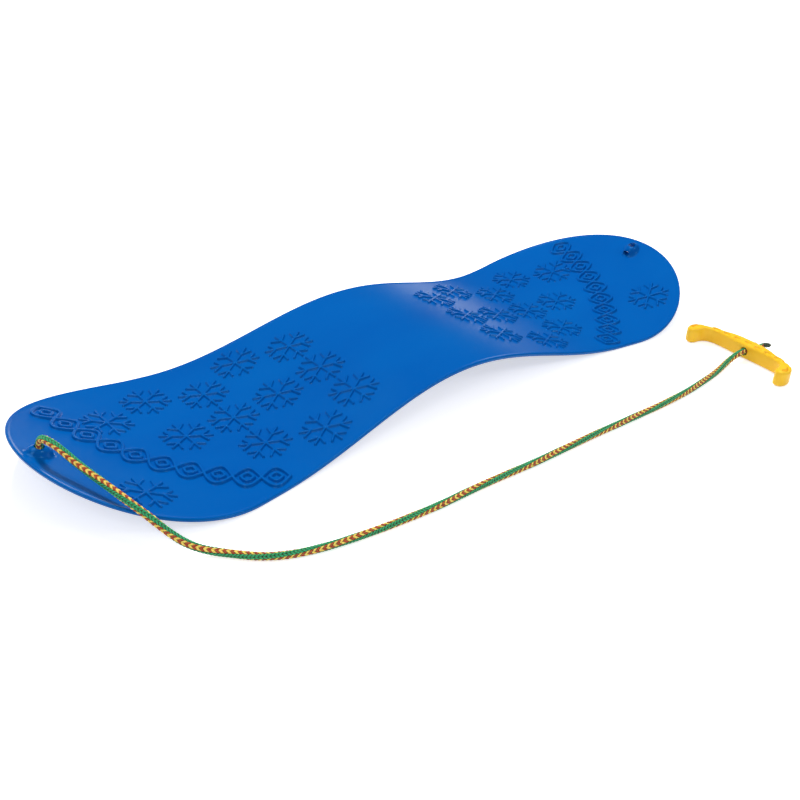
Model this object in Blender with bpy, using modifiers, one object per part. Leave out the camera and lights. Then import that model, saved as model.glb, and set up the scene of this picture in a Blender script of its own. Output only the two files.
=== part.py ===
# Plastic snowboard for children, with a braided tow rope and a moulded pull handle
#
# The board is one moulding: a thin sheet, waisted in plan and waved along its length. It rests on
# two low lines, arches up between them and curls up at both tips. Raised snowflakes give grip.
# Each tip has a hollow eyelet boss. The rope's knotted end sits in the left boss; the rope leaves
# through the hole in its top, drops over the rim, lies on the ground and passes through the handle.
#
# Frame: metres, +X along the board, +Y away from the rope's side, +Z up.
# The origin is on the ground under the middle of the board.

import math

import bmesh
import bpy
import numpy as np
from mathutils import Matrix, Vector

# Board: outline, wave and sheet
BOARD_LENGTH = 0.720
WIDEST_WIDTH = 0.226
WAIST_WIDTH = 0.186
SHEET = 0.003
CREST_RISE = 0.035
TIP_RISE = 0.038
TIP_SWEEP = 0.25
LOW_LINE_REACH = 0.212
LAND_WIDTH = 0.014

# Snowflakes, raised on the top face
FLAKE_RADIUS = 0.0215
FLAKE_LINE = 0.0021
FLAKE_PROUD = 0.0012
FLAKE_ROOT = 0.0008
FLAKE_BRANCH_START = 0.55
FLAKE_BRANCH_LENGTH = 0.41
FLAKE_BRANCH_ANGLE = math.radians(49)
FLAKE_PITCH = 0.045
FLAKE_FIRST_ROW = 0.0895
FLAKE_NARROW_ROW = 0.047
FLAKE_WIDE_ROW = 0.067
FLAKE_LAST_REACH = 0.2950
FLAKE_LAST_ROW = 0.065

# Eyelet bosses, one at each tip
EYELET_FROM_TIP = 0.0160
BOSS_LENGTH = 0.0220
BOSS_WIDTH = 0.0152
BOSS_WALL = 0.0014
MOUTH_WIDTH = 0.0074
MOUTH_HEIGHT = 0.0046
POCKET_SHIFT = 0.0015
HOLE_LEAN = math.radians(31)
HOLE_TURN = math.radians(-138)

# Rope and its knots
ROPE_DIAMETER = 0.0060
ROPE_SIDES_RESOLUTION = 2
EYELET_KNOT_DIAMETER = 0.0088
HANDLE_KNOT_DIAMETER = 0.0120
HANDLE_KNOT_LENGTH = 0.0100
TAIL_LENGTH = 0.0120

# Pull handle
HANDLE_SPAN = 0.1168
HANDLE_HEIGHT = 0.016
GRIP_DEPTH = 0.0138
ARM_DEPTH = 0.0066
HOOK_REACH = 0.0196
HANDLE_ROUNDING = 0.0024
HANDLE_FRONT = (0.2836, -0.1909)
HANDLE_TURN = math.radians(-4)
RECESS_COUNT = 7
RECESS_LENGTH = 0.0078
RECESS_WIDTH = 0.0042
RECESS_DEPTH = 0.0015
RECESS_PITCH = 0.0120
RECESS_SHARE = 0.36

# Clearances
SEAT_GAP = 0.0003
HOLE_CLEARANCE = 0.0008
BORE_CLEARANCE = 0.0010

MERGE = 0.00005
PLAN_MARGIN = 0.012
CUT_HEIGHT = 0.2

rope_radius = ROPE_DIAMETER / 2
half_length = BOARD_LENGTH / 2
tip_radius = WIDEST_WIDTH / 2
half_waist = WAIST_WIDTH / 2
tip_centre = half_length - tip_radius
waist_radius = (tip_centre ** 2 + half_waist ** 2 - tip_radius ** 2) / (2 * (tip_radius - half_waist))
tangent_x = tip_centre * waist_radius / (waist_radius + tip_radius)
land_start = LOW_LINE_REACH - LAND_WIDTH / 2
land_end = LOW_LINE_REACH + LAND_WIDTH / 2
eyelet_x = half_length - EYELET_FROM_TIP
pocket_radius = EYELET_KNOT_DIAMETER / 2 + SEAT_GAP
pocket_rise = EYELET_KNOT_DIAMETER / 2 - SHEET
boss_height = pocket_rise + pocket_radius + BOSS_WALL


def clear_scene():
    """Remove every object, so the file starts empty."""
    for old in list(bpy.data.objects):
        bpy.data.objects.remove(old, do_unlink=True)


def make_collection(name):
    collection = bpy.data.collections.new(name)
    bpy.context.scene.collection.children.link(collection)
    return collection


def make_material(name, colour, roughness):
    material = bpy.data.materials.new(name)
    material.use_nodes = True
    shader = material.node_tree.nodes["Principled BSDF"]
    shader.inputs["Base Color"].default_value = (*colour, 1.0)
    shader.inputs["Roughness"].default_value = roughness
    shader.inputs["Metallic"].default_value = 0.0
    return material


def add_part(name, mesh, material):
    """A visible piece, in the part's own collection."""
    piece = bpy.data.objects.new(name, mesh)
    parts.objects.link(piece)
    mesh.materials.clear()
    mesh.materials.append(material)
    return piece


def add_helper(name, mesh):
    """A shape that is only joined to a piece or cut out of it."""
    helper = bpy.data.objects.new(name, mesh)
    cutters.objects.link(helper)
    helper.hide_render = True
    helper.display_type = "WIRE"
    return helper


def mesh_of(bm, name):
    mesh = bpy.data.meshes.new(name)
    bm.normal_update()
    bmesh.ops.recalc_face_normals(bm, faces=bm.faces)
    bm.to_mesh(mesh)
    bm.free()
    return mesh


def mesh_from_curve(curve_object, name):
    """The curve's filled shape as a closed mesh, with its caps welded on."""
    depsgraph = bpy.context.evaluated_depsgraph_get()
    mesh = bpy.data.meshes.new_from_object(curve_object.evaluated_get(depsgraph))
    mesh.name = name
    mesh.transform(curve_object.matrix_world)
    bpy.data.objects.remove(curve_object, do_unlink=True)
    bm = bmesh.new()
    bm.from_mesh(mesh)
    bmesh.ops.remove_doubles(bm, verts=bm.verts, dist=MERGE)
    bmesh.ops.recalc_face_normals(bm, faces=bm.faces)
    bm.to_mesh(mesh)
    bm.free()
    return mesh


def extruded_outline(points, height, name):
    """A flat closed outline as a prism of this height, centred on z = 0."""
    curve = bpy.data.curves.new(name, "CURVE")
    curve.dimensions = "2D"
    curve.fill_mode = "BOTH"
    curve.extrude = height / 2
    spline = curve.splines.new("POLY")
    spline.points.add(len(points) - 1)
    for point, (x, y) in zip(spline.points, points):
        point.co = (x, y, 0.0, 1.0)
    spline.use_cyclic_u = True
    curve_object = bpy.data.objects.new(name, curve)
    cutters.objects.link(curve_object)
    return mesh_from_curve(curve_object, name)


def boolean(piece, helper, operation):
    modifier = piece.modifiers.new(helper.name, "BOOLEAN")
    modifier.operation = operation
    modifier.solver = "EXACT"
    modifier.object = helper
    return modifier


def frame_at(origin, x_axis, z_axis):
    """The matrix that puts a shape's X and Z along these two directions."""
    z_axis = z_axis.normalized()
    x_axis = (x_axis - z_axis * x_axis.dot(z_axis)).normalized()
    y_axis = z_axis.cross(x_axis)
    rotation = Matrix((x_axis, y_axis, z_axis)).transposed()
    return Matrix.Translation(origin) @ rotation.to_4x4()


def cylinder_mesh(name, radius, start, end, matrix, sides=24, width=1.0, height=1.0):
    """A cylinder along the matrix's Z, from start to end, with its X and Y scaled."""
    bm = bmesh.new()
    bmesh.ops.create_cone(
        bm, cap_ends=True, segments=sides, radius1=radius, radius2=radius, depth=end - start)
    for vert in bm.verts:
        vert.co = Vector((vert.co.x * width, vert.co.y * height, vert.co.z + (start + end) / 2))
    bm.transform(matrix)
    return mesh_of(bm, name)


def spun_mesh(name, profile, steps, matrix):
    """A closed round body: this profile of (radius, height), from axis to axis, spun about Z."""
    bm = bmesh.new()
    line = [bm.verts.new((radius, 0.0, height)) for radius, height in profile]
    edges = [bm.edges.new(pair) for pair in zip(line, line[1:])]
    bmesh.ops.spin(
        bm, geom=line + edges, cent=(0.0, 0.0, 0.0), axis=(0.0, 0.0, 1.0),
        angle=2 * math.pi, steps=steps, use_merge=True)
    bmesh.ops.remove_doubles(bm, verts=bm.verts, dist=MERGE)
    bm.transform(matrix)
    return mesh_of(bm, name)


# Board


def underside(x):
    """Height of the sheet's lower face above the ground at this distance along the board."""
    reach = abs(x)
    if reach <= land_start:
        return CREST_RISE * (1 + math.cos(math.pi * reach / land_start)) / 2
    if reach <= land_end:
        return 0.0
    share = (reach - land_end) / (half_length - land_end)
    return TIP_RISE * share ** 2 * (1 + TIP_SWEEP * (1 - share))


def slope(x):
    step = 0.0005
    return (underside(x + step) - underside(x - step)) / (2 * step)


def sheet_normal(x):
    return Vector((-slope(x), 0.0, 1.0)).normalized()


def top_face(x):
    """Height of the sheet's upper face above the ground."""
    return underside(x) + SHEET / sheet_normal(x).z


def half_width(x):
    """Half of the board's width: a hollow arc at the waist and a round arc at each tip."""
    reach = min(abs(x), half_length)
    if reach < tangent_x:
        return half_waist + waist_radius - math.sqrt(waist_radius ** 2 - reach ** 2)
    return math.sqrt(max(tip_radius ** 2 - (reach - tip_centre) ** 2, 0.0))


def board_outline(waist_steps=9, tip_steps=22):
    """The outline seen from above, once round, anticlockwise from the right tip."""
    tip_angle = math.acos((tangent_x - tip_centre) / tip_radius)
    quarter = []
    for step in range(tip_steps):
        angle = tip_angle * step / tip_steps
        quarter.append((tip_centre + tip_radius * math.cos(angle), tip_radius * math.sin(angle)))
    for step in range(waist_steps + 1):
        x = tangent_x * (1 - step / waist_steps)
        quarter.append((x, half_width(x)))
    upper = quarter + [(-x, y) for x, y in reversed(quarter[:-1])]
    return upper + [(x, -y) for x, y in reversed(upper[1:-1])]


def wave_stations(arch_steps=13, tip_steps=9):
    """Distances along the board where the wave's flat strips meet."""
    arch = [land_start * step / arch_steps for step in range(arch_steps + 1)]
    rise = half_length - land_end
    tip = [land_end + rise * step / tip_steps for step in range(tip_steps + 1)]
    right = arch + tip + [half_length + PLAN_MARGIN]
    return [-x for x in reversed(right[1:])] + right


def wave_sheet():
    """The waved sheet before its outline is cut: its lower face, thickened upwards."""
    stations = wave_stations()
    bm = bmesh.new()
    bmesh.ops.create_grid(bm, x_segments=len(stations) - 1, y_segments=1, size=1.0)
    bm.verts.ensure_lookup_table()
    columns = sorted({round(vert.co.x, 5) for vert in bm.verts})
    for vert in bm.verts:
        x = stations[columns.index(round(vert.co.x, 5))]
        vert.co = Vector((x, vert.co.y * (tip_radius + PLAN_MARGIN), underside(x)))
    bm.normal_update()
    for face in bm.faces:
        if face.normal.z < 0:
            face.normal_flip()
    mesh = bpy.data.meshes.new("board")
    bm.to_mesh(mesh)
    bm.free()
    return mesh


def flake_centres():
    """Where the snowflakes stand, mirrored from one end of the board to the other."""
    rows = []
    for index, across in enumerate((FLAKE_NARROW_ROW, FLAKE_WIDE_ROW, FLAKE_NARROW_ROW)):
        reach = FLAKE_FIRST_ROW + FLAKE_PITCH * index
        rows += [(reach, -across), (reach, 0.0), (reach, across)]
    rows += [(FLAKE_FIRST_ROW + 3 * FLAKE_PITCH, 0.0), (FLAKE_FIRST_ROW + 3 * FLAKE_PITCH, FLAKE_WIDE_ROW)]
    rows += [(FLAKE_FIRST_ROW + 4 * FLAKE_PITCH, FLAKE_NARROW_ROW), (FLAKE_LAST_REACH, -FLAKE_LAST_ROW)]
    return rows + [(-x, y) for x, y in rows]


def flake_outline():
    """Six arms with a pair of side branches each, with one arm straight across the board."""
    half_line = FLAKE_LINE / 2
    root = FLAKE_RADIUS * FLAKE_BRANCH_START
    reach = FLAKE_RADIUS * FLAKE_BRANCH_LENGTH
    lean = FLAKE_BRANCH_ANGLE
    notch = 2 * half_line
    end = Vector((root + reach * math.cos(lean), reach * math.sin(lean)))
    upper = [
        Vector((root - half_line * math.tan(lean / 2), half_line)),
        end,
        Vector((root + half_line / math.tan(lean / 2), half_line)),
    ]
    lower = [Vector((point.x, -point.y)) for point in upper]
    arm = [Vector((notch * math.cos(math.pi / 6), -notch * math.sin(math.pi / 6)))]
    arm += lower + [Vector((FLAKE_RADIUS, 0.0))] + list(reversed(upper))
    outline = []
    for index in range(6):
        turn = Matrix.Rotation(math.radians(90 + 60 * index), 2)
        outline += [turn @ point for point in arm]
    return outline


def snowflakes():
    """All the snowflakes as closed bodies that follow the waved face and root into the sheet."""
    flat = extruded_outline([(p.x, p.y) for p in flake_outline()], 1.0, "snowflake")
    bm = bmesh.new()
    bm.from_mesh(flat)
    bmesh.ops.triangulate(bm, faces=bm.faces)
    single = bpy.data.meshes.new("snowflake_single")
    bm.to_mesh(single)
    bm.free()
    bm = bmesh.new()
    for x, y in flake_centres():
        before = len(bm.verts)
        bm.from_mesh(single)
        bm.verts.ensure_lookup_table()
        for vert in bm.verts[before:]:
            raised = vert.co.z > 0
            vert.co.x += x
            vert.co.y += y
            vert.co.z = top_face(vert.co.x) + (FLAKE_PROUD if raised else -FLAKE_ROOT)
    bpy.data.meshes.remove(single)
    bpy.data.meshes.remove(flat)
    return mesh_of(bm, "snowflakes")


def boss_frame(side):
    """The boss's own frame: X towards the middle of the board, Z square to the sheet."""
    x = side * eyelet_x
    origin = Vector((x, 0.0, top_face(x)))
    return frame_at(origin, Vector((-side, 0.0, 0.0)), sheet_normal(x))


def pocket_centre(side):
    return boss_frame(side) @ Vector((0.0, -side * POCKET_SHIFT, pocket_rise))


def hole_axis(side):
    """The direction in which the rope leaves the boss."""
    turn = HOLE_TURN * -side
    flat = math.sin(HOLE_LEAN)
    lean = Vector((flat * math.cos(turn), flat * math.sin(turn), math.cos(HOLE_LEAN)))
    return (boss_frame(side).to_3x3() @ lean).normalized()


def boss_dome(side):
    """The outer dome, cut flat inside the sheet's thickness."""
    bm = bmesh.new()
    bmesh.ops.create_uvsphere(bm, u_segments=22, v_segments=12, radius=1.0)
    bmesh.ops.scale(bm, verts=bm.verts, vec=(BOSS_LENGTH / 2, BOSS_WIDTH / 2, boss_height))
    cut = bmesh.ops.bisect_plane(
        bm, geom=bm.verts[:] + bm.edges[:] + bm.faces[:],
        plane_co=(0.0, 0.0, -SHEET / 2), plane_no=(0.0, 0.0, -1.0), clear_outer=True)
    rim = [item for item in cut["geom_cut"] if isinstance(item, bmesh.types.BMEdge)]
    bmesh.ops.contextual_create(bm, geom=rim)
    bm.transform(boss_frame(side))
    return mesh_of(bm, "boss_dome")


def boss_pocket(side):
    """The hollow for the knot: round above, and open through the underside of the sheet."""
    steps = 5
    profile = [(0.0, -BOSS_LENGTH / 2), (pocket_radius, -BOSS_LENGTH / 2)]
    for step in range(steps + 1):
        angle = math.pi / 2 * step / steps
        profile.append((pocket_radius * math.cos(angle), pocket_rise + pocket_radius * math.sin(angle)))
    profile[-1] = (0.0, pocket_rise + pocket_radius)
    away = Matrix.Translation((0.0, -side * POCKET_SHIFT, 0.0))
    return spun_mesh("boss_pocket", profile, 18, boss_frame(side) @ away)


def boss_hole(side):
    axis = hole_axis(side)
    matrix = frame_at(pocket_centre(side), Vector((0.0, 1.0, 0.0)), axis)
    radius = rope_radius + HOLE_CLEARANCE
    return cylinder_mesh("boss_hole", radius, 0.0, 2 * boss_height, matrix, sides=20)


def boss_mouth(side):
    """The oval way into the hollow, on the side that faces the middle of the board."""
    frame = boss_frame(side)
    floor = 0.0004
    middle = frame @ Vector((0.0, 0.0, floor + MOUTH_HEIGHT / 2))
    across = frame.to_3x3() @ Vector((0.0, 1.0, 0.0))
    along = frame.to_3x3() @ Vector((1.0, 0.0, 0.0))
    matrix = frame_at(middle, across, along)
    return cylinder_mesh(
        "boss_mouth", 0.5, 0.0, BOSS_LENGTH, matrix, sides=20, width=MOUTH_WIDTH, height=MOUTH_HEIGHT)


def make_board():
    board = add_part("board", wave_sheet(), board_plastic)
    thick = board.modifiers.new("sheet", "SOLIDIFY")
    thick.thickness = SHEET
    thick.offset = 1.0
    thick.use_even_offset = True
    outline = extruded_outline(board_outline(), CUT_HEIGHT, "board_outline")
    boolean(board, add_helper("board_outline", outline), "INTERSECT")
    boolean(board, add_helper("snowflakes", snowflakes()), "UNION")
    for side, word in ((-1, "left"), (1, "right")):
        boolean(board, add_helper("dome_" + word, boss_dome(side)), "UNION")
        boolean(board, add_helper("pocket_" + word, boss_pocket(side)), "DIFFERENCE")
        boolean(board, add_helper("hole_" + word, boss_hole(side)), "DIFFERENCE")
        boolean(board, add_helper("mouth_" + word, boss_mouth(side)), "DIFFERENCE")
    return board


# Rope

# Points that the middle of the rope passes through, between its two straight ends
ROPE_ROUTE = [
    (-0.3430, -0.0052, 0.0490),
    (-0.3418, -0.0128, 0.0517),
    (-0.3390, -0.0215, 0.0503),
    (-0.3340, -0.0370, 0.0444),
    (-0.3276, -0.0562, 0.0382),
    (-0.3210, -0.0757, 0.0322),
    (-0.3156, -0.0915, 0.0272),
    (-0.3120, -0.1000, 0.0236),
    (-0.3080, -0.1078, 0.0188),
    (-0.3030, -0.1158, 0.0132),
    (-0.2965, -0.1243, 0.0078),
    (-0.2877, -0.1340, 0.0044),
    (-0.2765, -0.1452, 0.0031),
    (-0.2626, -0.1595, 0.0031),
    (-0.2444, -0.1710, 0.0031),
    (-0.2228, -0.1784, 0.0031),
    (-0.1903, -0.1848, 0.0031),
    (-0.1578, -0.1888, 0.0031),
    (-0.1225, -0.1915, 0.0031),
    (-0.0769, -0.1925, 0.0031),
    (-0.0235, -0.1955, 0.0031),
    (0.0416, -0.1971, 0.0031),
    (0.1110, -0.2000, 0.0031),
    (0.1750, -0.2007, 0.0031),
    (0.2060, -0.1984, 0.0031),
    (0.2360, -0.1944, 0.0031),
    (0.2530, -0.1910, 0.0034),
    (0.2630, -0.1897, 0.0044),
    (0.2725, -0.1898, 0.0066),
]
STRAIGHT_END = 0.0030
STRAIGHT_START = 0.0060
FINE_LENGTH = 0.170
FINE_STEP = 0.0060
COARSE_STEP = 0.0140


def handle_axis():
    """The direction of the handle's bore, away from the board."""
    return Vector((math.cos(HANDLE_TURN), math.sin(HANDLE_TURN), 0.0))


def handle_point(depth, across=0.0, height=0.5):
    """A point of the handle: depth along its bore, across its length, share of its height."""
    axis = handle_axis()
    sideways = Vector((-axis.y, axis.x, 0.0))
    origin = Vector((*HANDLE_FRONT, 0.0))
    return origin + axis * depth + sideways * across + Vector((0.0, 0.0, HANDLE_HEIGHT * height))


def smooth_curve(points, start_tangent, end_tangent):
    """A function of length share that runs smoothly through the points, with these end directions."""
    points = np.array(points)
    chords = np.linalg.norm(np.diff(points, axis=0), axis=1)
    knots = np.concatenate([[0.0], np.cumsum(chords)])
    count = len(points)
    matrix = np.zeros((count, count))
    target = np.zeros((count, 3))
    matrix[0, 0] = matrix[-1, -1] = 1.0
    target[0] = start_tangent
    target[-1] = end_tangent
    for i in range(1, count - 1):
        before = chords[i - 1]
        after = chords[i]
        matrix[i, i - 1] = after
        matrix[i, i] = 2 * (before + after)
        matrix[i, i + 1] = before
        rise = after * (points[i] - points[i - 1]) / before + before * (points[i + 1] - points[i]) / after
        target[i] = 3 * rise
    tangents = np.linalg.solve(matrix, target)

    def at(distance):
        i = int(np.clip(np.searchsorted(knots, distance) - 1, 0, count - 2))
        span = chords[i]
        t = (distance - knots[i]) / span
        return (
            (2 * t ** 3 - 3 * t ** 2 + 1) * points[i]
            + (t ** 3 - 2 * t ** 2 + t) * span * tangents[i]
            + (3 * t ** 2 - 2 * t ** 3) * points[i + 1]
            + (t ** 3 - t ** 2) * span * tangents[i + 1]
        )

    return at, knots[-1]


def rope_ends():
    """Where the rope meets its two knots, and the directions in which it leaves them."""
    leave = hole_axis(-1)
    start = pocket_centre(-1) + leave * (knot_face_distance() + SEAT_GAP)
    arrive = handle_axis()
    end = handle_point(GRIP_DEPTH)
    return start, leave, end, arrive


def rope_points():
    """The rope's middle line: straight at both ends, smooth and gently curved between them."""
    start, leave, end, arrive = rope_ends()
    first = start + leave * STRAIGHT_START
    last = end - arrive * (GRIP_DEPTH + STRAIGHT_END)
    at, total = smooth_curve([first, *ROPE_ROUTE, last], leave, arrive)
    places = list(np.arange(FINE_STEP, FINE_LENGTH, FINE_STEP))
    rest = total - FINE_LENGTH
    coarse = round(rest / COARSE_STEP)
    places += [FINE_LENGTH + rest * step / coarse for step in range(coarse)]
    middle = [Vector(at(place)) for place in places]
    return [start, first, *middle, last, end]


def make_rope():
    curve = bpy.data.curves.new("tow_rope", "CURVE")
    curve.dimensions = "3D"
    curve.bevel_depth = rope_radius
    curve.bevel_resolution = ROPE_SIDES_RESOLUTION
    curve.use_fill_caps = True
    curve.render_resolution_u = 0
    points = rope_points()
    spline = curve.splines.new("POLY")
    spline.points.add(len(points) - 1)
    for point, place in zip(spline.points, points):
        point.co = (*place, 1.0)
    rope = bpy.data.objects.new("tow_rope", curve)
    parts.objects.link(rope)
    curve.materials.append(rope_yarn)
    length = sum((b - a).length for a, b in zip(points, points[1:]))
    print("rope length %.4f m, %d points" % (length, len(points)))
    return rope


# Knots


def knot_face_distance():
    """From the eyelet knot's centre to the flat that the rope meets."""
    return math.sqrt((EYELET_KNOT_DIAMETER / 2) ** 2 - (rope_radius + 0.0002) ** 2)


def make_eyelet_knot():
    """The rope's knotted, melted end: a round bead with a flat where the rope leaves it."""
    radius = EYELET_KNOT_DIAMETER / 2
    flat = knot_face_distance()
    top = math.asin(flat / radius)
    steps = 8
    profile = [(0.0, -radius)]
    for step in range(1, steps + 1):
        angle = -math.pi / 2 + (top + math.pi / 2) * step / steps
        profile.append((radius * math.cos(angle), radius * math.sin(angle)))
    profile.append((0.0, flat))
    matrix = frame_at(pocket_centre(-1), Vector((0.0, 1.0, 0.0)), hole_axis(-1))
    return add_part("eyelet_knot", spun_mesh("eyelet_knot", profile, 16, matrix), rope_yarn)


def make_handle_knot():
    """The stopper knot behind the handle, a plump bulb with the rope's short tail beside it."""
    radius = HANDLE_KNOT_DIAMETER / 2
    steps = 8
    spread = math.radians(62)
    profile = [(0.0, 0.0)]
    for step in range(steps + 1):
        angle = spread * (2 * step / steps - 1)
        height = HANDLE_KNOT_LENGTH * (0.5 + 0.5 * math.sin(angle) / math.sin(spread))
        profile.append((radius * math.cos(angle), height))
    profile.append((0.0, HANDLE_KNOT_LENGTH))
    axis = handle_axis()
    matrix = frame_at(handle_point(GRIP_DEPTH + SEAT_GAP), Vector((0.0, 0.0, 1.0)), axis)
    knot = add_part("handle_knot", spun_mesh("handle_knot", profile, 16, matrix), rope_yarn)
    tail_way = (axis + Vector((axis.y, -axis.x, 0.0)) * 0.25).normalized()
    tail_matrix = frame_at(
        handle_point(GRIP_DEPTH + SEAT_GAP + HANDLE_KNOT_LENGTH * 0.55), Vector((0.0, 0.0, 1.0)), tail_way)
    tail = cylinder_mesh("knot_tail", rope_radius, 0.0, TAIL_LENGTH, tail_matrix, sides=12)
    boolean(knot, add_helper("knot_tail", tail), "UNION")
    return knot


# Handle


def handle_half_outline():
    """One half of the handle seen from above: (depth along the bore, distance along its length)."""
    end = HANDLE_SPAN / 2
    return [
        (GRIP_DEPTH, 0.0),
        (GRIP_DEPTH * 0.97, 0.20 * end),
        (GRIP_DEPTH * 0.855, 0.36 * end),
        (ARM_DEPTH * 1.30, 0.515 * end),
        (ARM_DEPTH, 0.67 * end),
        (ARM_DEPTH * 0.67, 0.80 * end),
        (ARM_DEPTH * 0.06, 0.91 * end),
        (HOOK_REACH * -0.28, 0.98 * end),
        (HOOK_REACH * -0.61, end),
        (HOOK_REACH * -0.88, 0.97 * end),
        (-HOOK_REACH, 0.90 * end),
        (HOOK_REACH * -0.96, 0.83 * end),
        (HOOK_REACH * -0.74, 0.785 * end),
        (HOOK_REACH * -0.43, 0.77 * end),
        (HOOK_REACH * -0.16, 0.725 * end),
        (HOOK_REACH * -0.01, 0.62 * end),
        (ARM_DEPTH * 0.08, 0.43 * end),
        (ARM_DEPTH * 0.045, 0.20 * end),
    ]


def handle_outline():
    half = handle_half_outline()
    return half + [(0.0, 0.0)] + [(x, -y) for x, y in reversed(half[1:])]


def handle_blank():
    """The handle before it is bored: its smooth outline, as thick as the handle is high."""
    curve = bpy.data.curves.new("handle", "CURVE")
    curve.dimensions = "2D"
    curve.fill_mode = "BOTH"
    curve.extrude = HANDLE_HEIGHT / 2
    curve.resolution_u = 3
    curve.render_resolution_u = 0
    outline = handle_outline()
    spline = curve.splines.new("BEZIER")
    spline.bezier_points.add(len(outline) - 1)
    for point, (x, y) in zip(spline.bezier_points, outline):
        point.co = (x, y, 0.0)
        point.handle_left_type = "AUTO"
        point.handle_right_type = "AUTO"
    spline.use_cyclic_u = True
    blank = bpy.data.objects.new("handle_curve", curve)
    cutters.objects.link(blank)
    return mesh_from_curve(blank, "handle")


def recess_places():
    """Centres of the small oval recesses along the front of the handle's upper face."""
    places = []
    for index in range(RECESS_COUNT):
        across = (index - (RECESS_COUNT - 1) / 2) * RECESS_PITCH
        share = abs(across) / (HANDLE_SPAN / 2)
        depth = (GRIP_DEPTH + (ARM_DEPTH - GRIP_DEPTH) * share * 1.4) * RECESS_SHARE
        places.append((depth, across))
    return places


def make_handle():
    handle = add_part("tow_handle", handle_blank(), handle_plastic)
    handle.matrix_world = frame_at(handle_point(0.0), handle_axis(), Vector((0.0, 0.0, 1.0)))
    rounding = handle.modifiers.new("rounding", "BEVEL")
    rounding.width = HANDLE_ROUNDING
    rounding.segments = 2
    rounding.limit_method = "ANGLE"
    rounding.angle_limit = math.radians(60)
    bore_matrix = frame_at(handle_point(0.0), Vector((0.0, 0.0, 1.0)), handle_axis())
    bore = cylinder_mesh(
        "handle_bore", rope_radius + BORE_CLEARANCE, -HOOK_REACH, GRIP_DEPTH + HOOK_REACH, bore_matrix)
    boolean(handle, add_helper("handle_bore", bore), "DIFFERENCE")
    up = Vector((0.0, 0.0, 1.0))
    for index, (depth, across) in enumerate(recess_places()):
        matrix = frame_at(handle_point(depth, across, 1.0), handle_axis(), up)
        recess = cylinder_mesh(
            "recess", 0.5, -RECESS_DEPTH, RECESS_DEPTH, matrix, sides=12,
            width=RECESS_WIDTH, height=RECESS_LENGTH)
        boolean(handle, add_helper("recess_%d" % index, recess), "DIFFERENCE")
    return handle


clear_scene()
parts = make_collection("plastic_snowboard")
cutters = make_collection("cutters")
board_plastic = make_material("board_blue", (0.0, 0.13, 0.52), 0.22)
rope_yarn = make_material("rope_green", (0.03, 0.36, 0.14), 0.75)
handle_plastic = make_material("handle_yellow", (0.95, 0.50, 0.03), 0.32)

make_board()
make_rope()
make_eyelet_knot()
make_handle_knot()
make_handle()
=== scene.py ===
import math

import bmesh
import bpy
import numpy as np
from mathutils import Matrix, Vector


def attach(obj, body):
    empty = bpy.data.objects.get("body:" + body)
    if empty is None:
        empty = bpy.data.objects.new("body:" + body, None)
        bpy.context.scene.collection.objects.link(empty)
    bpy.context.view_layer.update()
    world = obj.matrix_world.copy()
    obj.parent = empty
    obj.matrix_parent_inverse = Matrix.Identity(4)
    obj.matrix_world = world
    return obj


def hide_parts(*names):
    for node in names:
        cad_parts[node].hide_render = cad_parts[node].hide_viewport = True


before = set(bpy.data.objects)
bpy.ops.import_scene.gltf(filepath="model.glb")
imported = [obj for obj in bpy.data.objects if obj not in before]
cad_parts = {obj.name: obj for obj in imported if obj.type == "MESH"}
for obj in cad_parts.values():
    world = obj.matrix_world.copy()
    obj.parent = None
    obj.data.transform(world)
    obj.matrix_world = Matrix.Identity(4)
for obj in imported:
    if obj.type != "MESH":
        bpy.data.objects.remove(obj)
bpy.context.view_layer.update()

# Sizes repeated from the part's source, in metres
BOARD_LENGTH = 0.720
WIDEST_WIDTH = 0.226
WAIST_WIDTH = 0.186
SHEET = 0.003
CREST_RISE = 0.035
TIP_RISE = 0.038
TIP_SWEEP = 0.25
LOW_LINE_REACH = 0.212
LAND_WIDTH = 0.014
FLAKE_RADIUS = 0.0215
FLAKE_BRANCH_START = 0.55
FLAKE_BRANCH_LENGTH = 0.41
FLAKE_BRANCH_ANGLE = math.radians(49)
FLAKE_PITCH = 0.045
FLAKE_FIRST_ROW = 0.0895
FLAKE_NARROW_ROW = 0.047
FLAKE_WIDE_ROW = 0.067
FLAKE_LAST_REACH = 0.2950
FLAKE_LAST_ROW = 0.065
EYELET_FROM_TIP = 0.0160
BOSS_LENGTH = 0.0220
BOSS_WIDTH = 0.0152
BOSS_WALL = 0.0014
MOUTH_WIDTH = 0.0074
MOUTH_HEIGHT = 0.0046
POCKET_SHIFT = 0.0015
HOLE_LEAN = math.radians(31)
HOLE_TURN = math.radians(-138)
ROPE_DIAMETER = 0.0060
EYELET_KNOT_DIAMETER = 0.0088
HANDLE_SPAN = 0.1168
HANDLE_HEIGHT = 0.016
GRIP_DEPTH = 0.0138
ARM_DEPTH = 0.0066
HOOK_REACH = 0.0196
HANDLE_FRONT = (0.2836, -0.1909)
HANDLE_TURN = math.radians(-4)
RECESS_COUNT = 7
RECESS_LENGTH = 0.0078
RECESS_WIDTH = 0.0042
RECESS_DEPTH = 0.0015
RECESS_PITCH = 0.0120
RECESS_SHARE = 0.36
SEAT_GAP = 0.0003
HOLE_CLEARANCE = 0.0008
BORE_CLEARANCE = 0.0010
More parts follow.
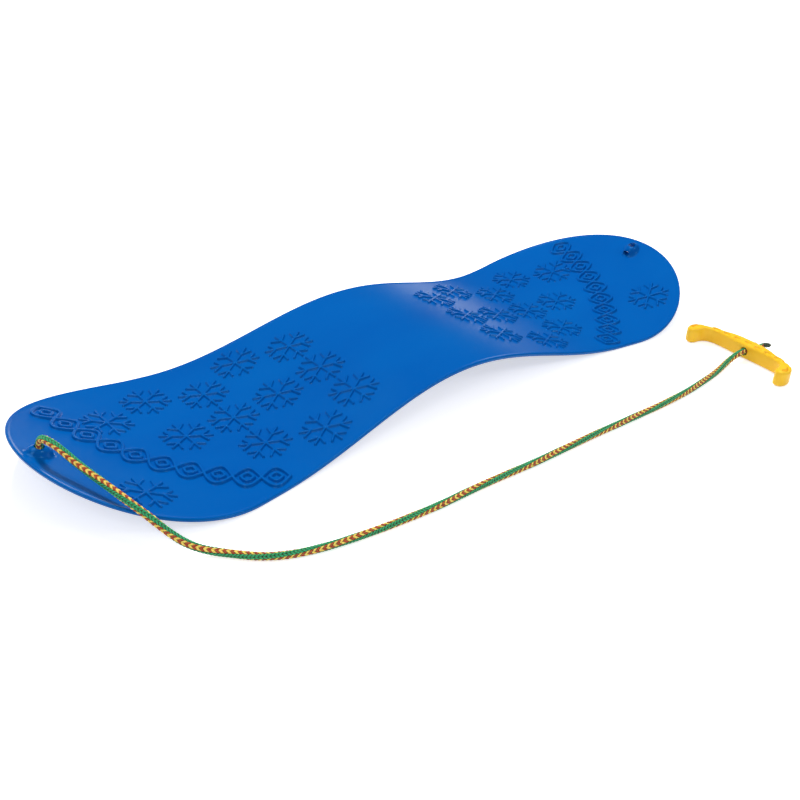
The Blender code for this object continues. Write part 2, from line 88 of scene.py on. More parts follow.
ROPE_ROUTE = [
    (-0.3430, -0.0052, 0.0490),
    (-0.3418, -0.0128, 0.0517),
    (-0.3390, -0.0215, 0.0503),
    (-0.3340, -0.0370, 0.0444),
    (-0.3276, -0.0562, 0.0382),
    (-0.3210, -0.0757, 0.0322),
    (-0.3156, -0.0915, 0.0272),
    (-0.3120, -0.1000, 0.0236),
    (-0.3080, -0.1078, 0.0188),
    (-0.3030, -0.1158, 0.0132),
    (-0.2965, -0.1243, 0.0078),
    (-0.2877, -0.1340, 0.0044),
    (-0.2765, -0.1452, 0.0031),
    (-0.2626, -0.1595, 0.0031),
    (-0.2444, -0.1710, 0.0031),
    (-0.2228, -0.1784, 0.0031),
    (-0.1903, -0.1848, 0.0031),
    (-0.1578, -0.1888, 0.0031),
    (-0.1225, -0.1915, 0.0031),
    (-0.0769, -0.1925, 0.0031),
    (-0.0235, -0.1955, 0.0031),
    (0.0416, -0.1971, 0.0031),
    (0.1110, -0.2000, 0.0031),
    (0.1750, -0.2007, 0.0031),
    (0.2060, -0.1984, 0.0031),
    (0.2360, -0.1944, 0.0031),
    (0.2530, -0.1910, 0.0034),
    (0.2630, -0.1897, 0.0044),
    (0.2725, -0.1898, 0.0066),
]
STRAIGHT_END = 0.0030
STRAIGHT_START = 0.0060

rope_radius = ROPE_DIAMETER / 2
half_length = BOARD_LENGTH / 2
tip_radius = WIDEST_WIDTH / 2
half_waist = WAIST_WIDTH / 2
tip_centre = half_length - tip_radius
waist_radius = (tip_centre ** 2 + half_waist ** 2 - tip_radius ** 2) / (2 * (tip_radius - half_waist))
tangent_x = tip_centre * waist_radius / (waist_radius + tip_radius)
land_start = LOW_LINE_REACH - LAND_WIDTH / 2
land_end = LOW_LINE_REACH + LAND_WIDTH / 2
eyelet_x = half_length - EYELET_FROM_TIP
pocket_radius = EYELET_KNOT_DIAMETER / 2 + SEAT_GAP
pocket_rise = EYELET_KNOT_DIAMETER / 2 - SHEET
boss_height = pocket_rise + pocket_radius + BOSS_WALL


# Camera

CAMERA_PLACE = (-0.5647, -0.6231, 0.4576)
CAMERA_VIEW = (0.582, 0.6339, -0.5094)
CAMERA_ROLL = math.radians(3.41)
CAMERA_LENS = 45.85


def make_camera():
    """The photograph's view: from the near left corner, a little above, with a slight roll."""
    view = Vector(CAMERA_VIEW).normalized()
    right = view.cross(Vector((0.0, 0.0, 1.0))).normalized()
    up = right.cross(view)
    turned_right = right * math.cos(CAMERA_ROLL) + up * math.sin(CAMERA_ROLL)
    turned_up = up * math.cos(CAMERA_ROLL) - right * math.sin(CAMERA_ROLL)
    data = bpy.data.cameras.new("camera")
    data.lens = CAMERA_LENS
    data.sensor_width = 36.0
    data.clip_start = 0.01
    camera = bpy.data.objects.new("camera", data)
    rotation = Matrix((turned_right, turned_up, -view)).transposed()
    camera.matrix_world = Matrix.Translation(CAMERA_PLACE) @ rotation.to_4x4()
    bpy.context.scene.collection.objects.link(camera)
    bpy.context.scene.camera = camera


# Shared mesh helpers


def new_object(name, mesh, *materials):
    piece = bpy.data.objects.new(name, mesh)
    bpy.context.scene.collection.objects.link(piece)
    mesh.materials.clear()
    for material in materials:
        mesh.materials.append(material)
    return piece


def shade_smooth(mesh):
    mesh.polygons.foreach_set("use_smooth", [True] * len(mesh.polygons))


def mesh_of(bm, name):
    mesh = bpy.data.meshes.new(name)
    bm.normal_update()
    bmesh.ops.recalc_face_normals(bm, faces=bm.faces)
    bm.to_mesh(mesh)
    bm.free()
    return mesh


def mesh_from_arrays(name, points, faces):
    mesh = bpy.data.meshes.new(name)
    mesh.from_pydata([tuple(p) for p in points], [], faces)
    mesh.validate()
    return mesh


def cut(piece, cutter_mesh):
    """Cut this mesh's shape out of the piece."""
    cutter = bpy.data.objects.new("cutter", cutter_mesh)
    bpy.context.scene.collection.objects.link(cutter)
    modifier = piece.modifiers.new("cut", "BOOLEAN")
    modifier.operation = "DIFFERENCE"
    modifier.solver = "EXACT"
    modifier.object = cutter
    apply_modifiers(piece)
    bpy.data.objects.remove(cutter, do_unlink=True)


def apply_modifiers(piece):
    depsgraph = bpy.context.evaluated_depsgraph_get()
    mesh = bpy.data.meshes.new_from_object(piece.evaluated_get(depsgraph))
    old = piece.data
    piece.modifiers.clear()
    piece.data = mesh
    bpy.data.meshes.remove(old)


def frame_at(origin, x_axis, z_axis):
    """The matrix that puts a shape's X and Z along these two directions."""
    z_axis = z_axis.normalized()
    x_axis = (x_axis - z_axis * x_axis.dot(z_axis)).normalized()
    y_axis = z_axis.cross(x_axis)
    rotation = Matrix((x_axis, y_axis, z_axis)).transposed()
    return Matrix.Translation(origin) @ rotation.to_4x4()


def cylinder_mesh(name, radius, start, end, matrix, sides=40, width=1.0, height=1.0):
    """A cylinder along the frame's Z from start to end, stretched across by width and height."""
    bm = bmesh.new()
    bmesh.ops.create_cone(
        bm, cap_ends=True, segments=sides, radius1=radius, radius2=radius, depth=end - start)
    for vert in bm.verts:
        vert.co = Vector((vert.co.x * width, vert.co.y * height, vert.co.z + (start + end) / 2))
    bm.transform(matrix)
    return mesh_of(bm, name)


def spun_mesh(name, profile, steps, matrix, width=1.0):
    """A closed round body: this profile of (radius, height), from axis to axis, spun about Z."""
    bm = bmesh.new()
    line = [bm.verts.new((radius, 0.0, height)) for radius, height in profile]
    edges = [bm.edges.new(pair) for pair in zip(line, line[1:])]
    bmesh.ops.spin(
        bm, geom=line + edges, cent=(0.0, 0.0, 0.0), axis=(0.0, 0.0, 1.0),
        angle=2 * math.pi, steps=steps, use_merge=True)
    bmesh.ops.remove_doubles(bm, verts=bm.verts, dist=0.00001)
    for vert in bm.verts:
        vert.co.y *= width
    bm.transform(matrix)
    return mesh_of(bm, name)


# Material helpers


def shader_material(name, colour, roughness):
    material = bpy.data.materials.new(name)
    material.use_nodes = True
    shader = material.node_tree.nodes["Principled BSDF"]
    shader.inputs["Base Color"].default_value = (*colour, 1.0)
    shader.inputs["Roughness"].default_value = roughness
    return material, shader


def add_node(material, kind, **settings):
    node = material.node_tree.nodes.new(kind)
    for key, value in settings.items():
        setattr(node, key, value)
    return node


def link(material, source, target):
    material.node_tree.links.new(source, target)


def noise(material, scale, detail=3.0, roughness=0.5, stretch=(1.0, 1.0, 1.0)):
    """Noise in the object's own coordinates, in repeats a metre."""
    place = add_node(material, "ShaderNodeTexCoord")
    mapping = add_node(material, "ShaderNodeMapping")
    mapping.inputs["Scale"].default_value = stretch
    texture = add_node(material, "ShaderNodeTexNoise")
    texture.inputs["Scale"].default_value = scale
    texture.inputs["Detail"].default_value = detail
    texture.inputs["Roughness"].default_value = roughness
    link(material, place.outputs["Object"], mapping.inputs["Vector"])
    link(material, mapping.outputs["Vector"], texture.inputs["Vector"])
    return texture.outputs["Fac"]


def ramp(material, source, stops):
    """A colour that follows the source through these (place, colour) stops."""
    node = add_node(material, "ShaderNodeValToRGB")
    elements = node.color_ramp.elements
    while len(elements) < len(stops):
        elements.new(0.5)
    for element, (place, colour) in zip(elements, stops):
        element.position = place
        element.color = (*colour, 1.0)
    link(material, source, node.inputs["Fac"])
    return node.outputs["Color"]


def spread(material, source, low, high):
    """The source's 0.3 to 0.7 stretched to run from low to high."""
    node = add_node(material, "ShaderNodeMapRange")
    node.inputs["From Min"].default_value = 0.3
    node.inputs["From Max"].default_value = 0.7
    node.inputs["To Min"].default_value = low
    node.inputs["To Max"].default_value = high
    link(material, source, node.inputs["Value"])
    return node.outputs["Result"]


def bump(material, source, distance, strength, under=None):
    node = add_node(material, "ShaderNodeBump")
    node.inputs["Distance"].default_value = distance
    node.inputs["Strength"].default_value = strength
    link(material, source, node.inputs["Height"])
    if under is not None:
        link(material, under, node.inputs["Normal"])
    return node.outputs["Normal"]


def make_board_plastic():
    """Blue moulded plastic: even colour with faint flow marks, a soft gloss and fine scuffs."""
    material, shader = shader_material("board_blue", (0.0, 0.108, 0.435), 0.22)
    flow = noise(material, 7.0, detail=2.0, stretch=(1.0, 2.0, 1.0))
    tint = ramp(material, flow, [(0.3, (0.0, 0.100, 0.420)), (0.7, (0.0, 0.116, 0.450))])
    link(material, tint, shader.inputs["Base Color"])
    scuffs = noise(material, 240.0, detail=4.0)
    link(material, spread(material, scuffs, 0.19, 0.25), shader.inputs["Roughness"])
    waves = bump(material, noise(material, 16.0, detail=1.0, stretch=(0.6, 2.0, 1.0)), 0.0005, 0.22)
    grain = bump(material, noise(material, 1500.0, detail=2.0), 0.00004, 0.35, waves)
    link(material, grain, shader.inputs["Normal"])
    shader.inputs["Specular IOR Level"].default_value = 0.30
    shader.inputs["Specular Tint"].default_value = (0.25, 0.70, 1.0, 1.0)
    return material


def make_handle_plastic():
    """Warm yellow moulded plastic that lets a little light in."""
    material, shader = shader_material("handle_yellow", (1.0, 0.595, 0.026), 0.34)
    flow = noise(material, 60.0, detail=2.0)
    tint = ramp(material, flow, [(0.3, (1.0, 0.575, 0.022)), (0.7, (1.0, 0.615, 0.030))])
    link(material, tint, shader.inputs["Base Color"])
    scuffs = noise(material, 420.0, detail=4.0)
    link(material, spread(material, scuffs, 0.28, 0.40), shader.inputs["Roughness"])
    shader.inputs["Specular IOR Level"].default_value = 0.30
    shader.inputs["Subsurface Weight"].default_value = 0.05
    shader.inputs["Subsurface Radius"].default_value = (1.0, 0.5, 0.1)
    shader.inputs["Subsurface Scale"].default_value = 0.003
    grain = bump(material, noise(material, 1300.0, detail=2.0), 0.00004, 0.4)
    link(material, grain, shader.inputs["Normal"])
    return material


def make_yarn(name, dark, light):
    """Braiding yarn: many fine fibres, lit softly."""
    material, shader = shader_material(name, light, 0.72)
    fibres = noise(material, 900.0, detail=3.0, roughness=0.6)
    link(material, ramp(material, fibres, [(0.32, dark), (0.62, light)]), shader.inputs["Base Color"])
    shader.inputs["Sheen Weight"].default_value = 0.25
    shader.inputs["Sheen Roughness"].default_value = 0.5
    thread = bump(material, noise(material, 2600.0, detail=2.0), 0.0001, 0.6)
    link(material, thread, shader.inputs["Normal"])
    return material


# Board


def underside(x):
    """Height of the sheet's lower face above the ground at this distance along the board."""
    reach = abs(x)
    if reach <= land_start:
        return CREST_RISE * (1 + math.cos(math.pi * reach / land_start)) / 2
    if reach <= land_end:
        return 0.0
    share = (reach - land_end) / (half_length - land_end)
    return TIP_RISE * share ** 2 * (1 + TIP_SWEEP * (1 - share))


def sheet_normal(x):
    """The direction square to the sheet at this distance along the board."""
    step = 0.0005
    slope = (underside(x + step) - underside(x - step)) / (2 * step)
    return Vector((-slope, 0.0, 1.0)).normalized()


def top_face(x):
    """Height of the sheet's upper face above the ground."""
    return underside(x) + SHEET / sheet_normal(x).z


LIP_START = 0.0038
LIP_CREST = 0.0018
LIP_RISE = 0.0004
LIP_STEPS = 6
RIM_ROUNDING = 0.0013
RIM_STEPS = 8
POCKET_EASE = 0.00002
TIP_STEPS = 56
WAIST_STEPS = 34
ACROSS_STEPS = 14


def quarter_outline(inset):
    """A quarter of the outline, from the right tip to the waist, moved in by this much."""
    tip_angle = math.acos((tangent_x - tip_centre) / tip_radius)
    radius = tip_radius - inset
    points = []
    for step in range(TIP_STEPS):
        angle = tip_angle * step / TIP_STEPS
        points.append((tip_centre + radius * math.cos(angle), radius * math.sin(angle)))
    waist_angle = math.asin(tangent_x / waist_radius)
    radius = waist_radius + inset
    for step in range(WAIST_STEPS + 1):
        angle = waist_angle * (1 - step / WAIST_STEPS)
        points.append((radius * math.sin(angle), half_waist + waist_radius - radius * math.cos(angle)))
    return points


def loop_outline(inset):
    """The whole outline, moved in by this much, anticlockwise from the right tip."""
    quarter = quarter_outline(inset)
    upper = quarter + [(-x, y) for x, y in reversed(quarter[:-1])]
    return upper + [(x, -y) for x, y in reversed(upper[1:-1])]


def lip_rise(inset):
    """How far the low lip along the rim stands above the sheet, this far in from the rim."""
    share = min(1.0, max(0.0, (LIP_START - inset) / (LIP_START - LIP_CREST)))
    return LIP_RISE * share * share * (3 - 2 * share)


def make_board_shell():
    """The sheet with the low lip along its rounded rim, without its raised relief."""
    rings = []
    for step in range(-1, LIP_STEPS + 1):
        inset = LIP_START + (LIP_CREST - LIP_START) * step / LIP_STEPS
        rings.append([(x, y, top_face(x) + lip_rise(inset)) for x, y in loop_outline(inset)])
    for step in range(RIM_STEPS + 1):
        angle = math.pi / 2 - math.pi * step / RIM_STEPS
        inset = RIM_ROUNDING * (1 - math.cos(angle))
        ring = []
        for x, y in loop_outline(inset):
            top = top_face(x) + LIP_RISE
            low = underside(x)
            ring.append((x, y, (top + low) / 2 + (top - low) / 2 * math.sin(angle)))
        rings.append(ring)
    rings.append([(x, y, underside(x)) for x, y in loop_outline(LIP_START)])
    count = len(rings[0])
    last = count // 2
    points = [p for ring in rings for p in ring]
    faces = []
    for k in range(len(rings) - 1):
        for i in range(count):
            j = (i + 1) % count
            faces.append((k * count + i, (k + 1) * count + i, (k + 1) * count + j, k * count + j))

    def fill(ring_index, height, flip):
        """The rows across the board inside one ring."""
        base = ring_index * count
        rows = []
        for i in range(last + 1):
            upper = base + i
            lower = base + (count - i) % count
            if i in (0, last):
                rows.append([upper])
                continue
            x, y, _ = points[upper]
            row = [upper]
            for step in range(1, ACROSS_STEPS):
                points.append((x, y * (1 - 2 * step / ACROSS_STEPS), height(x)))
                row.append(len(points) - 1)
            rows.append(row + [lower])
        for one, two in zip(rows, rows[1:]):
            for step in range(ACROSS_STEPS):
                corners = []
                for row, k in ((one, step), (two, step), (two, step + 1), (one, step + 1)):
                    corner = row[min(k, len(row) - 1)] if len(row) > 1 else row[0]
                    if corner not in corners:
                        corners.append(corner)
                if len(corners) > 2:
                    faces.append(tuple(reversed(corners)) if flip else tuple(corners))

    fill(0, top_face, False)
    fill(len(rings) - 1, underside, True)
    mesh = mesh_from_arrays("board_shell", points, faces)
    bm = bmesh.new()
    bm.from_mesh(mesh)
    bmesh.ops.recalc_face_normals(bm, faces=bm.faces)
    bm.to_mesh(mesh)
    bm.free()
    shell = new_object("board_shell", mesh, board_plastic)
    for side in (-1, 1):
        cut(shell, pocket_mesh(side, pocket_radius + POCKET_EASE))
    shade_smooth(shell.data)
    return shell


# Eyelet bosses

BOSS_ROOT = 0.00135
BOSS_EDGE = 0.0004
MOUTH_FLOOR = 0.0004
POCKET_STEPS = 10
POCKET_SIDES = 36
BOSS_SIDES = 64
BOSS_PROFILE = [
    (0.0, 1.0), (0.20, 0.985), (0.38, 0.935), (0.55, 0.850), (0.69, 0.730), (0.80, 0.590),
    (0.88, 0.440), (0.94, 0.290), (1.00, 0.160), (1.08, 0.065), (1.18, 0.012), (1.26, -0.045),
]


def boss_frame(side):
    """The boss's own frame: X towards the middle of the board, Z square to the sheet."""
    x = side * eyelet_x
    return frame_at(Vector((x, 0.0, top_face(x))), Vector((-side, 0.0, 0.0)), sheet_normal(x))


def pocket_centre(side):
    """The middle of the round hollow that holds the knot."""
    return boss_frame(side) @ Vector((0.0, -side * POCKET_SHIFT, pocket_rise))


def hole_axis(side):
    """The direction in which the rope leaves the boss."""
    turn = HOLE_TURN * -side
    flat = math.sin(HOLE_LEAN)
    lean = Vector((flat * math.cos(turn), flat * math.sin(turn), math.cos(HOLE_LEAN)))
    return (boss_frame(side).to_3x3() @ lean).normalized()


def pocket_mesh(side, radius):
    """The hollow for the knot: round above, and open through the underside of the sheet."""
    profile = [(0.0, -BOSS_LENGTH / 2), (radius, -BOSS_LENGTH / 2)]
    for step in range(POCKET_STEPS):
        angle = math.pi / 2 * step / POCKET_STEPS
        profile.append((radius * math.cos(angle), pocket_rise + radius * math.sin(angle)))
    profile.append((0.0, pocket_rise + radius))
    away = Matrix.Translation((0.0, -side * POCKET_SHIFT, 0.0))
    return spun_mesh("pocket", profile, POCKET_SIDES, boss_frame(side) @ away)


def make_boss(name, side):
    """A hollow dome with a flared foot, a round rope hole on top and an oval mouth at the front."""
    matrix = boss_frame(side)
    profile = [(share * BOSS_LENGTH / 2, rise * boss_height) for share, rise in reversed(BOSS_PROFILE)]
    profile = [(0.0, -BOSS_ROOT), (profile[0][0], -BOSS_ROOT)] + profile
    dome = spun_mesh("dome", profile, BOSS_SIDES, matrix, BOSS_WIDTH / BOSS_LENGTH)
    boss = new_object(name, dome, board_plastic)
    cut(boss, pocket_mesh(side, pocket_radius))
    axis = hole_axis(side)
    hole_frame = frame_at(pocket_centre(side), Vector((0.0, 1.0, 0.0)), axis)
    radius = rope_radius + HOLE_CLEARANCE
    cut(boss, cylinder_mesh("hole", radius, 0.0, 2 * boss_height, hole_frame))
    middle = matrix @ Vector((0.0, 0.0, MOUTH_FLOOR + MOUTH_HEIGHT / 2))
    across = matrix.to_3x3() @ Vector((0.0, 1.0, 0.0))
    along = matrix.to_3x3() @ Vector((1.0, 0.0, 0.0))
    mouth = cylinder_mesh(
        "mouth", 0.5, 0.0, BOSS_LENGTH, frame_at(middle, across, along),
        width=MOUTH_WIDTH, height=MOUTH_HEIGHT)
    cut(boss, mouth)
    edge = boss.modifiers.new("edge", "BEVEL")
    edge.width = BOSS_EDGE
    edge.segments = 2
    edge.limit_method = "ANGLE"
    edge.angle_limit = math.radians(40)
    apply_modifiers(boss)
    shade_smooth(boss.data)
    return boss


# Relief

GRID = 0.00033
FLAKE_PROUD = 0.0017
FLAKE_CORE = 0.00060
FLAKE_FOOT = 0.00125
BAND_PROUD = 0.0021
BAND_CORE = 0.00080
BAND_FOOT = 0.00155
BAND_HALF_WIDTH = 0.0115
BAND_WAVE = 0.0480
BAND_STEPS = 421
LENS_START = 0.27
LENS_END = 0.73
LENS_SHARE = 0.42
RELIEF_SINK = 0.00003
BAND_ROUTE = [
    (0.1900, -0.0960), (0.2130, -0.0805), (0.2410, -0.0540), (0.2620, -0.0290), (0.2775, -0.0060),
    (0.2910, 0.0200), (0.3020, 0.0470), (0.3080, 0.0680), (0.3100, 0.0820),
]


def flake_centres():
    """Where the snowflakes stand, mirrored from one end of the board to the other."""
    rows = []
    for index, across in enumerate((FLAKE_NARROW_ROW, FLAKE_WIDE_ROW, FLAKE_NARROW_ROW)):
        reach = FLAKE_FIRST_ROW + FLAKE_PITCH * index
        rows += [(reach, -across), (reach, 0.0), (reach, across)]
    rows += [(FLAKE_FIRST_ROW + 3 * FLAKE_PITCH, 0.0), (FLAKE_FIRST_ROW + 3 * FLAKE_PITCH, FLAKE_WIDE_ROW)]
    rows += [(FLAKE_FIRST_ROW + 4 * FLAKE_PITCH, FLAKE_NARROW_ROW), (FLAKE_LAST_REACH, -FLAKE_LAST_ROW)]
    return rows + [(-x, y) for x, y in rows]


def segment_distance(px, py, start, end):
    """Distance from each point to one straight line between two points."""
    dx = end[0] - start[0]
    dy = end[1] - start[1]
    share = ((px - start[0]) * dx + (py - start[1]) * dy) / (dx * dx + dy * dy)
    share = np.clip(share, 0.0, 1.0)
    return np.hypot(px - start[0] - share * dx, py - start[1] - share * dy)


def raised(distance, proud, core, foot):
    """A rounded ridge: full height over the core, easing down to nothing at the foot."""
    share = np.clip((foot - distance) / (foot - core), 0.0, 1.0)
    return proud * share * share * (3 - 2 * share)


def flake_height(px, py):
    """Height of one snowflake, by folding the plane onto one half of one arm."""
    angle = np.arctan2(py, px) - math.pi / 2
    fold = (angle + math.pi / 6) % (math.pi / 3) - math.pi / 6
    radius = np.hypot(px, py)
    along = radius * np.cos(fold)
    side = np.abs(radius * np.sin(fold))
    root = FLAKE_RADIUS * FLAKE_BRANCH_START
    reach = FLAKE_RADIUS * FLAKE_BRANCH_LENGTH
    lean = FLAKE_BRANCH_ANGLE
    end = (root + reach * math.cos(lean), reach * math.sin(lean))
    stem = segment_distance(along, side, (0.0, 0.0), (FLAKE_RADIUS - FLAKE_CORE, 0.0))
    branch = segment_distance(along, side, (root, 0.0), end)
    return raised(np.minimum(stem, branch), FLAKE_PROUD, FLAKE_CORE, FLAKE_FOOT)


def band_line(side):
    """Points and unit sideways vectors along the middle of an ornament band, and its length."""
    route = [(x, y, 0.0) for x, y in BAND_ROUTE]
    first = np.array(route[1]) - np.array(route[0])
    last = np.array(route[-1]) - np.array(route[-2])
    at, total = smooth_curve(route, first / np.linalg.norm(first), last / np.linalg.norm(last))
    line = np.array([at(s) for s in np.linspace(0, total, BAND_STEPS)])[:, :2]
    way = np.gradient(line, axis=0)
    way = way / np.linalg.norm(way, axis=1)[:, None]
    sideways = np.stack([-way[:, 1], way[:, 0]], 1)
    flip = np.array((side, 1.0))
    return line * flip, sideways * flip, total


def band_strokes(side):
    """The ornament's lines: two waves that cross again and again, with a small lens in each eye."""
    line, sideways, total = band_line(side)
    place = np.linspace(0, total, len(line))
    waves = round(total / BAND_WAVE)
    phase = 2 * math.pi * waves * place / total
    strokes = []
    for sign in (1, -1):
        swing = sign * BAND_HALF_WIDTH * np.sin(phase)
        strokes.append(line + sideways * swing[:, None])
    eye = len(line) // (2 * waves)
    for index in range(2 * waves):
        lens = slice(index * eye + int(eye * LENS_START), index * eye + int(eye * LENS_END) + 1)
        share = np.linspace(0, math.pi, lens.stop - lens.start)
        for sign in (1, -1):
            swing = sign * BAND_HALF_WIDTH * LENS_SHARE * np.sin(share)
            strokes.append(line[lens] + sideways[lens] * swing[:, None])
    return strokes


def relief_heights(xs, ys):
    """Height of the relief above the sheet at every crossing of a fine grid."""
    height = np.zeros((len(xs), len(ys)))

    def window(low, high):
        i = np.searchsorted(xs, (low[0], high[0]))
        j = np.searchsorted(ys, (low[1], high[1]))
        return slice(i[0], i[1]), slice(j[0], j[1])

    for cx, cy in flake_centres():
        reach = FLAKE_RADIUS + FLAKE_FOOT
        rows, columns = window((cx - reach, cy - reach), (cx + reach, cy + reach))
        px, py = np.meshgrid(xs[rows] - cx, ys[columns] - cy, indexing="ij")
        height[rows, columns] = np.maximum(height[rows, columns], flake_height(px, py))
    for side in (-1, 1):
        for stroke in band_strokes(side):
            for one, two in zip(stroke, stroke[1:]):
                low = np.minimum(one, two) - BAND_FOOT
                high = np.maximum(one, two) + BAND_FOOT
                rows, columns = window(low, high)
                px, py = np.meshgrid(xs[rows], ys[columns], indexing="ij")
                ridge = raised(segment_distance(px, py, one, two), BAND_PROUD, BAND_CORE, BAND_FOOT)
                height[rows, columns] = np.maximum(height[rows, columns], ridge)
    return height


def make_relief():
    """Snowflakes and ornament bands as fine ridges that follow the waved face."""
    xs = np.arange(-half_length, half_length, GRID)
    ys = np.arange(-tip_radius, tip_radius, GRID)
    height = relief_heights(xs, ys)
    used = height > 0
    cell = used[:-1, :-1] | used[1:, :-1] | used[:-1, 1:] | used[1:, 1:]
    corner = np.zeros_like(used)
    corner[:-1, :-1] |= cell
    corner[1:, :-1] |= cell
    corner[:-1, 1:] |= cell
    corner[1:, 1:] |= cell
    number = np.full(used.shape, -1)
    number[corner] = np.arange(corner.sum())
    rows, columns = np.nonzero(corner)
    face_height = np.array([top_face(x) for x in xs])
    level = face_height[rows] + height[rows, columns] - RELIEF_SINK
    points = np.stack([xs[rows], ys[columns], level], 1)
    i, j = np.nonzero(cell)
    faces = np.stack([number[i, j], number[i + 1, j], number[i + 1, j + 1], number[i, j + 1]], 1)
    mesh = mesh_from_arrays("relief", points, faces.tolist())
    shade_smooth(mesh)
    return new_object("relief", mesh, board_plastic)


# Rope

ROPE_SAMPLES = 1600
PATH_SPACING = 0.004
KNOT_INSET = 0.0002
COLUMNS = 4
LOBE = 0.002675
LOBE_POINTS = 8
CHEVRON = 0.92
BRAID_CORE = 0.71
BRAID_BULGE = 0.32
BRAID_SQUARING = 0.78
GREEN_SHADOW = 0.60
STRIPE_SHADOW = 0.36
ROPE_TWIST = 0.200
ROPE_TURN = 0.168
EVEN_END = 0.0060
SINGED_TAPER = 0.5
SINGED_LEAST = 0.02


def handle_axis():
    """The direction of the handle's bore, away from the board."""
    return Vector((math.cos(HANDLE_TURN), math.sin(HANDLE_TURN), 0.0))


def handle_point(depth):
    """A point on the middle of the handle's bore, this far behind the handle's front."""
    return Vector((*HANDLE_FRONT, HANDLE_HEIGHT / 2)) + handle_axis() * depth


def smooth_curve(points, start_tangent, end_tangent):
    """A function of distance that runs smoothly through the points, with these end directions."""
    points = np.array(points)
    chords = np.linalg.norm(np.diff(points, axis=0), axis=1)
    knots = np.concatenate([[0.0], np.cumsum(chords)])
    count = len(points)
    matrix = np.zeros((count, count))
    target = np.zeros((count, 3))
    matrix[0, 0] = matrix[-1, -1] = 1.0
    target[0] = start_tangent
    target[-1] = end_tangent
    for i in range(1, count - 1):
        before = chords[i - 1]
        after = chords[i]
        matrix[i, i - 1] = after
        matrix[i, i] = 2 * (before + after)
        matrix[i, i + 1] = before
        rise = after * (points[i] - points[i - 1]) / before + before * (points[i + 1] - points[i]) / after
        target[i] = 3 * rise
    tangents = np.linalg.solve(matrix, target)

    def at(distance):
        i = int(np.clip(np.searchsorted(knots, distance) - 1, 0, count - 2))
        span = chords[i]
        t = (distance - knots[i]) / span
        return (
            (2 * t ** 3 - 3 * t ** 2 + 1) * points[i]
            + (t ** 3 - 2 * t ** 2 + t) * span * tangents[i]
            + (3 * t ** 2 - 2 * t ** 3) * points[i + 1]
            + (t ** 3 - t ** 2) * span * tangents[i + 1]
        )

    return at, knots[-1]


def running_length(points):
    """Distance along the points from the first one, at each of them."""
    steps = np.linalg.norm(np.diff(points, axis=0), axis=1)
    return np.concatenate([[0.0], np.cumsum(steps)])


def evenly(points, place, count):
    """This many points, evenly spaced along the points at these running lengths."""
    even = np.linspace(0, place[-1], count)
    return np.stack([np.interp(even, place, points[:, k]) for k in range(3)], 1)


def rope_line(spacing):
    """Evenly spaced points along the rope's middle, from the eyelet's knot to the handle's."""
    leave = hole_axis(-1)
    flat = math.sqrt((EYELET_KNOT_DIAMETER / 2) ** 2 - (rope_radius + KNOT_INSET) ** 2)
    start = pocket_centre(-1) + leave * (flat + SEAT_GAP)
    arrive = handle_axis()
    end = handle_point(GRIP_DEPTH)
    first = start + leave * STRAIGHT_START
    last = end - arrive * (GRIP_DEPTH + STRAIGHT_END)
    at, total = smooth_curve([first, *ROPE_ROUTE, last], leave, arrive)
    middle = [at(s) for s in np.linspace(0, total, ROPE_SAMPLES)]
    dense = np.array([np.array(start), *middle, np.array(end)])
    place = running_length(dense)
    return evenly(dense, place, int(round(place[-1] / spacing)) + 1), place[-1]


def carried_frames(line):
    """Directions across the line at each point, carried along it without twist."""
    ways = np.gradient(line, axis=0)
    ways = ways / np.linalg.norm(ways, axis=1)[:, None]
    side = np.cross(ways[0], (0.0, 0.0, 1.0))
    if np.linalg.norm(side) < 0.1:
        side = np.cross(ways[0], (0.0, 1.0, 0.0))
    sides = [side / np.linalg.norm(side)]
    for way in ways[1:]:
        side = sides[-1] - way * np.dot(sides[-1], way)
        sides.append(side / np.linalg.norm(side))
    sides = np.array(sides)
    return sides, np.cross(ways, sides)


